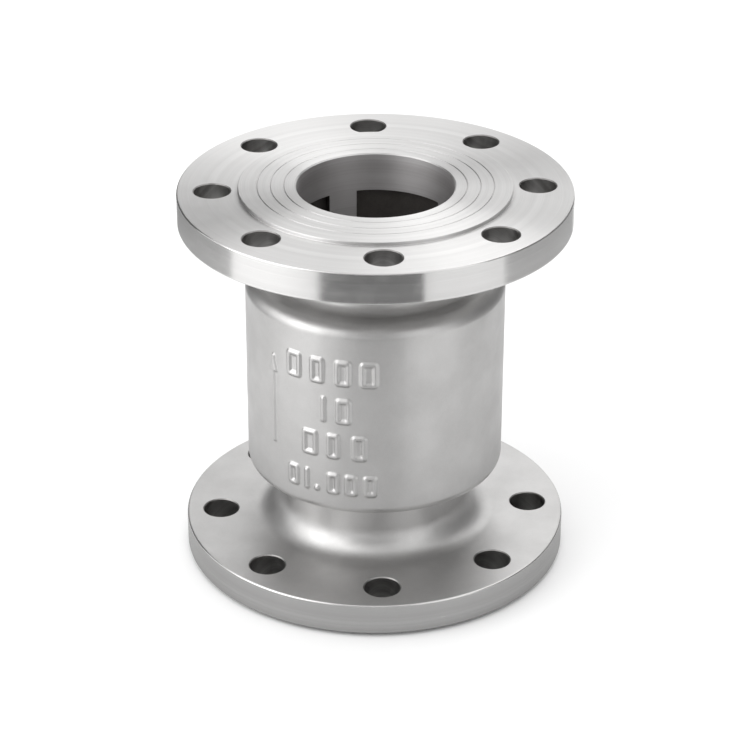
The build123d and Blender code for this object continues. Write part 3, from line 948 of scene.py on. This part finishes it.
    def swell(self, mesh: bpy.types.Mesh) -> None:
        """Raise the marks and give the cast skin the slight swell that sand leaves."""
        barrel = self.barrel_radius
        for vertex in mesh.vertices:
            point = vertex.co / MM
            radius = math.hypot(point.x, point.y)
            low, high = self.flange_thickness, self.face_to_face - self.flange_thickness
            if not (low + 1 < point.z < high - 1 and self.neck_radius - 1 < radius < barrel + 1):
                continue
            fade = min(soft_step((point.z - low) / 8), soft_step((high - point.z) / 8))
            wave = noise.fractal(point / 16.0, 1.0, 2.0, 2) + 0.25 * noise.noise(point / 3.5)
            rise = self.sand_swell * fade * wave
            if radius > barrel - 0.5 and self.marks_bottom < point.z < self.marks_top:
                azimuth = math.degrees(math.atan2(point.x, -point.y))
                rise += self.marks.rise(azimuth, point.z)
            outward = Vector((point.x, point.y, 0)).normalized()
            vertex.co += outward * rise * MM

    def build(self) -> bpy.types.Object:
        """Turn, drill and dress the casting, and let it stand for its solid."""
        blank = place(self.lathe(), "casting_blank")
        for finish in (CAST, FACED, PORT, CAVITY, RIM):
            blank.data.materials.append(finish.material())
        drills = self.drill_circle()
        cut = blank.modifiers.new("bolt_holes", "BOOLEAN")
        cut.operation = "DIFFERENCE"
        cut.solver = "EXACT"
        cut.material_mode = "TRANSFER"
        cut.object = drills
        casting = plain_copy(blank, "casting")
        bpy.data.objects.remove(drills)
        casting.data.set_sharp_from_angle(angle=math.radians(38))
        self.swell(casting.data)
        casting.modifiers.new("even_shading", "WEIGHTED_NORMAL").keep_sharp = True
        lengths = ("inlet_flange", "inlet_neck", "seat_housing", "barrel", "outlet_neck", "outlet_flange")
        return hand_over(plain_copy(casting, "valve_casting"), "casing", CAST.slot, *lengths)


def apply_tree(obj: bpy.types.Object, tree: bpy.types.NodeTree, values: dict[str, Any]) -> None:
    """Put a Geometry Nodes tree on an object and set its named inputs."""
    modifier = obj.modifiers.new(tree.name, "NODES")
    modifier.node_group = tree
    for item in tree.interface.items_tree:
        if item.item_type == "SOCKET" and item.in_out == "INPUT" and item.name in values:
            modifier[item.identifier] = values[item.name]


@dataclass
class CoilSpring:
    """The compression spring over the disc: round wire, dead end turns, ends ground flat. Sizes in metres."""

    bottom: float
    top: float
    mean_radius: float = 14.2 * MM
    wire_radius: float = 1.1 * MM
    turns: float = 9.5
    dead_turns: float = 1.0
    lift: float = 16.0 * MM
    points_per_turn: int = 44

    def tree(self) -> bpy.types.NodeTree:
        """Geometry Nodes that wind the wire from its named sizes."""
        wiring, given, result = new_group(
            "coil_spring",
            "GeometryNodeTree",
            {
                "Geometry": ("NodeSocketGeometry", None),
                "Turns": ("NodeSocketFloat", 9.5),
                "Dead Turns": ("NodeSocketFloat", 1.0),
                "Mean Radius": ("NodeSocketFloat", 0.014),
                "Wire Radius": ("NodeSocketFloat", 0.001),
                "Bottom": ("NodeSocketFloat", 0.0),
                "Top": ("NodeSocketFloat", 0.06),
                "Points": ("NodeSocketInt", 400),
                "Finish": ("NodeSocketMaterial", None),
            },
            {"Geometry": "NodeSocketGeometry"},
        )
        size = given.outputs
        line = wiring.add("GeometryNodeCurvePrimitiveLine")
        course = wiring.add("GeometryNodeResampleCurve", {"Curve": line.outputs[0], "Count": size["Points"]})
        share = wiring.add("GeometryNodeSplineParameter").outputs["Factor"]
        wound = wiring.math("MULTIPLY", share, size["Turns"])
        angle = wiring.math("MULTIPLY", wound, math.tau)
        wire_thickness = wiring.math("MULTIPLY", size["Wire Radius"], 2.0)
        dead_rise = wiring.math("MULTIPLY", wire_thickness, size["Dead Turns"])
        height = wiring.math("SUBTRACT", size["Top"], size["Bottom"])
        free = wiring.math("SUBTRACT", height, wiring.math("MULTIPLY", size["Wire Radius"], 1.2))
        live_rise = wiring.math("SUBTRACT", free, wiring.math("MULTIPLY", dead_rise, 2.0))
        last_live = wiring.math("SUBTRACT", size["Turns"], size["Dead Turns"])
        first = wiring.remap(wound, 0.0, size["Dead Turns"], 0.0, dead_rise)
        middle = wiring.remap(wound, size["Dead Turns"], last_live, 0.0, live_rise)
        last = wiring.remap(wound, last_live, size["Turns"], 0.0, dead_rise)
        climb = wiring.math("ADD", wiring.math("ADD", first, middle), last)
        foot = wiring.math("ADD", size["Bottom"], wiring.math("MULTIPLY", size["Wire Radius"], 0.6))
        place_ = wiring.add(
            "ShaderNodeCombineXYZ",
            {
                "X": wiring.math("MULTIPLY", wiring.math("COSINE", angle), size["Mean Radius"]),
                "Y": wiring.math("MULTIPLY", wiring.math("SINE", angle), size["Mean Radius"]),
                "Z": wiring.math("ADD", foot, climb),
            },
        )
        helix = wiring.add(
            "GeometryNodeSetPosition", {"Geometry": course.outputs[0], "Position": place_.outputs[0]}
        )
        section = wiring.add(
            "GeometryNodeCurvePrimitiveCircle", {"Resolution": 20, "Radius": size["Wire Radius"]}
        )
        wire = wiring.add(
            "GeometryNodeCurveToMesh",
            {"Curve": helix.outputs[0], "Profile Curve": section.outputs[0], "Fill Caps": True},
        )
        at = wiring.add("ShaderNodeSeparateXYZ", {0: wiring.add("GeometryNodeInputPosition").outputs[0]})
        kept = wiring.math("MINIMUM", wiring.math("MAXIMUM", at.outputs["Z"], size["Bottom"]), size["Top"])
        flat = wiring.add(
            "ShaderNodeCombineXYZ", {"X": at.outputs["X"], "Y": at.outputs["Y"], "Z": kept}
        )
        ground = wiring.add(
            "GeometryNodeSetPosition", {"Geometry": wire.outputs[0], "Position": flat.outputs[0]}
        )
        smooth = wiring.add("GeometryNodeSetShadeSmooth", {"Geometry": ground.outputs[0]})
        solid = wiring.add("GeometryNodeRealizeInstances", {0: smooth.outputs[0]})
        dressed = wiring.add(
            "GeometryNodeSetMaterial", {"Geometry": solid.outputs[0], "Material": size["Finish"]}
        )
        wiring.feed(result.inputs[0], dressed.outputs[0])
        return wiring.tree

    def build(self) -> bpy.types.Object:
        """Wind the spring between its bottom and top, and let it stand for its CAD node."""
        blank = place(bpy.data.meshes.new("spring_blank"), "spring_blank")
        apply_tree(
            blank,
            self.tree(),
            {
                "Turns": self.turns,
                "Dead Turns": self.dead_turns,
                "Mean Radius": self.mean_radius,
                "Wire Radius": self.wire_radius,
                "Bottom": self.bottom,
                "Top": self.top,
                "Points": round(self.turns * self.points_per_turn),
                "Finish": WIRE.material(),
            },
        )
        coil = plain_copy(blank, "spring_coil")
        hand_over(coil, "casing", WIRE.slot, "spring")
        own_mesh(coil)
        return coil


@dataclass
class InnerPieces:
    """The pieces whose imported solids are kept, each with its finish."""

    finishes: dict[str, TurnedSteel | SmoothSteel | Polymer] = field(
        default_factory=lambda: {
            "seat_ring": TRIM,
            "seat_o_ring": RUBBER,
            "seat_lock_screws": BOLTING,
            "lower_guide_bush": FILLED_PTFE,
            "disc": TRIM,
            "disc_seal": PTFE,
            "seal_clamp_ring": TRIM,
            "clamp_ring_screws": BOLTING,
            "stem": GROUND,
            "tab_washer": SHEET,
            "stem_nut": BOLTING,
            "lower_spring_washer": SHEET,
            "upper_spring_washer": SHEET,
            "upper_guide": TRIM,
            "upper_guide_bush": FILLED_PTFE,
            "retaining_ring": STRIP,
        }
    )

    def dress(self, nodes: dict[str, bpy.types.Object]) -> Iterable[str]:
        """Give every kept piece its finish.

        Args:
            nodes: Node name to its packed object.

        Returns:
            The names of the dressed pieces.
        """
        made = {finish: finish.material() for finish in set(self.finishes.values())}
        for name, finish in self.finishes.items():
            mesh = nodes[name].data
            if not mesh.materials:
                mesh.materials.append(None)
            for index in range(len(mesh.materials)):
                mesh.materials[index] = made[finish]
        return self.finishes.keys()


# --------------------------------------------------------------------------------------------------
# Studio
# --------------------------------------------------------------------------------------------------


@dataclass(frozen=True)
class Softbox:
    """A rectangular soft light that points at the valve. Angles in degrees, sizes in metres."""

    name: str
    azimuth: float
    elevation: float
    distance: float
    width: float
    height: float
    radiance: float

    def hang(self, target: Vector) -> None:
        """Place the light round the target."""
        light = bpy.data.lights.new(self.name, "AREA")
        light.shape = "RECTANGLE"
        light.size, light.size_y = self.width, self.height
        light.energy = self.radiance * math.pi * self.width * self.height
        lamp = bpy.data.objects.new(self.name, light)
        bpy.context.scene.collection.objects.link(lamp)
        back = bearing(self.azimuth, self.elevation)
        lamp.location = target + back * self.distance
        lamp.rotation_euler = (-back).to_track_quat("-Z", "Y").to_euler()
        lamp.visible_camera = False


def bearing(azimuth: float, elevation: float) -> Vector:
    """Unit vector from the valve towards an azimuth from -Y towards +X and a height above the horizon."""
    around, up = math.radians(azimuth), math.radians(elevation)
    return Vector((math.sin(around) * math.cos(up), -math.cos(around) * math.cos(up), math.sin(up)))


@dataclass(frozen=True)
class Card:
    """A matt card round the valve that only reflections see. Degrees, as bearings, and metres."""

    name: str
    azimuths: tuple[float, float]
    near: float
    far: float
    low: float
    high: float
    colour: Colour
    steps: int = 8

    def stand(self) -> None:
        """Place the card: flat from near to far, or upright where the two are the same."""
        build = bmesh.new()
        rows = []
        for distance, height in ((self.near, self.low), (self.far, self.high)):
            row = []
            for step in range(self.steps + 1):
                azimuth = self.azimuths[0] + (self.azimuths[1] - self.azimuths[0]) * step / self.steps
                row.append(build.verts.new(bearing(azimuth, 0) * distance + Vector((0, 0, height))))
            rows.append(row)
        for step in range(self.steps):
            build.faces.new((rows[0][step], rows[0][step + 1], rows[1][step + 1], rows[1][step]))
        card = matt_sheet(self.name, build, self.colour)
        card.visible_camera = False
        card.visible_shadow = False
        card.visible_diffuse = False


def matt_sheet(name: str, build: bmesh.types.BMesh, colour: Colour) -> bpy.types.Object:
    """Turn a flat build into a matt card or floor of one colour, and use the build up."""
    mesh = bpy.data.meshes.new(name)
    build.to_mesh(mesh)
    build.free()
    surface = Surface(name + "_sheet")
    surface.set(Base_Color=(*colour, 1.0), Roughness=0.8)
    mesh.materials.append(surface.material)
    return place(mesh, name)


@dataclass
class Studio:
    """Pale floor, soft lights, cards that shape the reflections, and the camera. Degrees and metres."""

    camera_azimuth: float = 19.7
    camera_elevation: float = 27.87
    camera_distance: float = 1.2953
    camera_roll: float = 0.16
    aim_height: float = 0.09445
    focal_length_mm: float = 122.2
    floor_colour: Colour = (0.9, 0.9, 0.9)
    sky_strength: float = 1.1
    cards: tuple[Card, ...] = (
        Card("front_flag", (-9.0, 46.0), 0.4, 1.6, 0.006, 0.006, (0.02, 0.02, 0.02)),
        Card("front_wall", (-2.0, 42.0), 1.6, 1.6, 0.3, 1.3, (0.25, 0.25, 0.25)),
        Card("near_flag", (-9.0, 46.0), 0.14, 0.4, 0.006, 0.006, (0.6, 0.6, 0.6)),
        Card("left_card", (-134.0, -62.0), 0.4, 1.2, 0.004, 0.004, (0.28, 0.28, 0.28)),
        Card("left_wall", (-142.0, -92.0), 1.2, 1.2, 0.004, 1.2, (0.12, 0.12, 0.12)),
        Card("right_card", (92.0, 170.0), 0.4, 1.2, 0.004, 0.004, (0.36, 0.36, 0.36)),
        Card("right_wall", (80.0, 165.0), 1.2, 1.2, 0.004, 1.2, (0.2, 0.2, 0.2)),
        # Painted shade: these two grey rings on the floor round the valve stand, in reflections only, for the
        # floor's shade near its foot.
        Card("foot_ring", (-180.0, 180.0), 0.08, 0.16, 0.001, 0.001, (0.47, 0.47, 0.47), 48),
        Card("base_ring", (-180.0, 180.0), 0.16, 0.3, 0.002, 0.002, (0.75, 0.75, 0.75), 48),
    )
    softboxes: tuple[Softbox, ...] = (
        Softbox("left_panel", -42.0, 28.0, 0.6, 0.5, 0.62, 1.55),
        Softbox("right_panel", 77.0, 26.0, 0.62, 0.42, 0.62, 0.25),
        Softbox("top_panel", 168.0, 56.0, 1.3, 1.0, 0.8, 1.3),
    )

    def shoot(self) -> None:
        """Set up the whole studio."""
        self.lay_floor()
        for card in self.cards:
            card.stand()
        self.light_sky()
        target = Vector((0, 0, self.aim_height))
        for softbox in self.softboxes:
            softbox.hang(target)
        self.set_camera(target)
        bpy.context.scene.view_settings.view_transform = "Standard"

    def lay_floor(self) -> None:
        """A wide pale floor under the valve."""
        half = 6.0
        build = bmesh.new()
        corners = ((-half, -half), (half, -half), (half, half), (-half, half))
        build.faces.new([build.verts.new((*corner, 0)) for corner in corners])
        matt_sheet("floor", build, self.floor_colour)

    def light_sky(self) -> None:
        """An even white surround."""
        world = bpy.data.worlds.new("surround")
        world.use_nodes = True
        background = world.node_tree.nodes["Background"]
        background.inputs["Color"].default_value = (1, 1, 1, 1)
        background.inputs["Strength"].default_value = self.sky_strength
        bpy.context.scene.world = world

    def set_camera(self, target: Vector) -> None:
        """Aim the camera at the middle of the valve."""
        camera = bpy.data.cameras.new("camera")
        camera.lens = self.focal_length_mm
        camera.sensor_width = 36.0
        camera.clip_start = 0.01
        holder = bpy.data.objects.new("camera", camera)
        bpy.context.scene.collection.objects.link(holder)
        back = bearing(self.camera_azimuth, self.camera_elevation)
        holder.location = target + back * self.camera_distance
        aim = (-back).to_track_quat("-Z", "Y").to_matrix()
        holder.rotation_euler = (aim @ Matrix.Rotation(math.radians(self.camera_roll), 3, "Z")).to_euler()
        bpy.context.scene.camera = holder


def main() -> None:
    """Build the valve's pieces in order, then the studio round them."""
    logging.basicConfig(level=logging.INFO, format="%(name)s: %(message)s")
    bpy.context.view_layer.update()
    inlet_face, outlet_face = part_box("inlet_flange")[0].z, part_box("outlet_flange")[1].z
    pattern = next(mount for mount in frame["record"]["mounts"] if mount["name"] == "outlet_flange_bolts")
    casting = Casting(
        flange_radius=round(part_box("outlet_flange")[1].x / MM, 3),
        barrel_radius=round(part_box("barrel")[1].x / MM, 3),
        face_to_face=round((outlet_face - inlet_face) / MM, 3),
        bolt_circle=pattern["dims"]["pcd_mm"],
        bolt_radius=pattern["dims"]["hole_r_mm"],
        bolt_count=pattern["dims"]["count"],
    )
    LOG.info("casting: %d faces", len(casting.build().data.polygons))
    spring_low, spring_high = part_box("spring")
    LOG.info("spring: %d faces", len(CoilSpring(spring_low.z, spring_high.z).build().data.polygons))
    for name in InnerPieces().dress(frame["nodes"]):
        LOG.info("dressed %s", name)
    Studio().shoot()


if __name__ == "__main__":
    main()
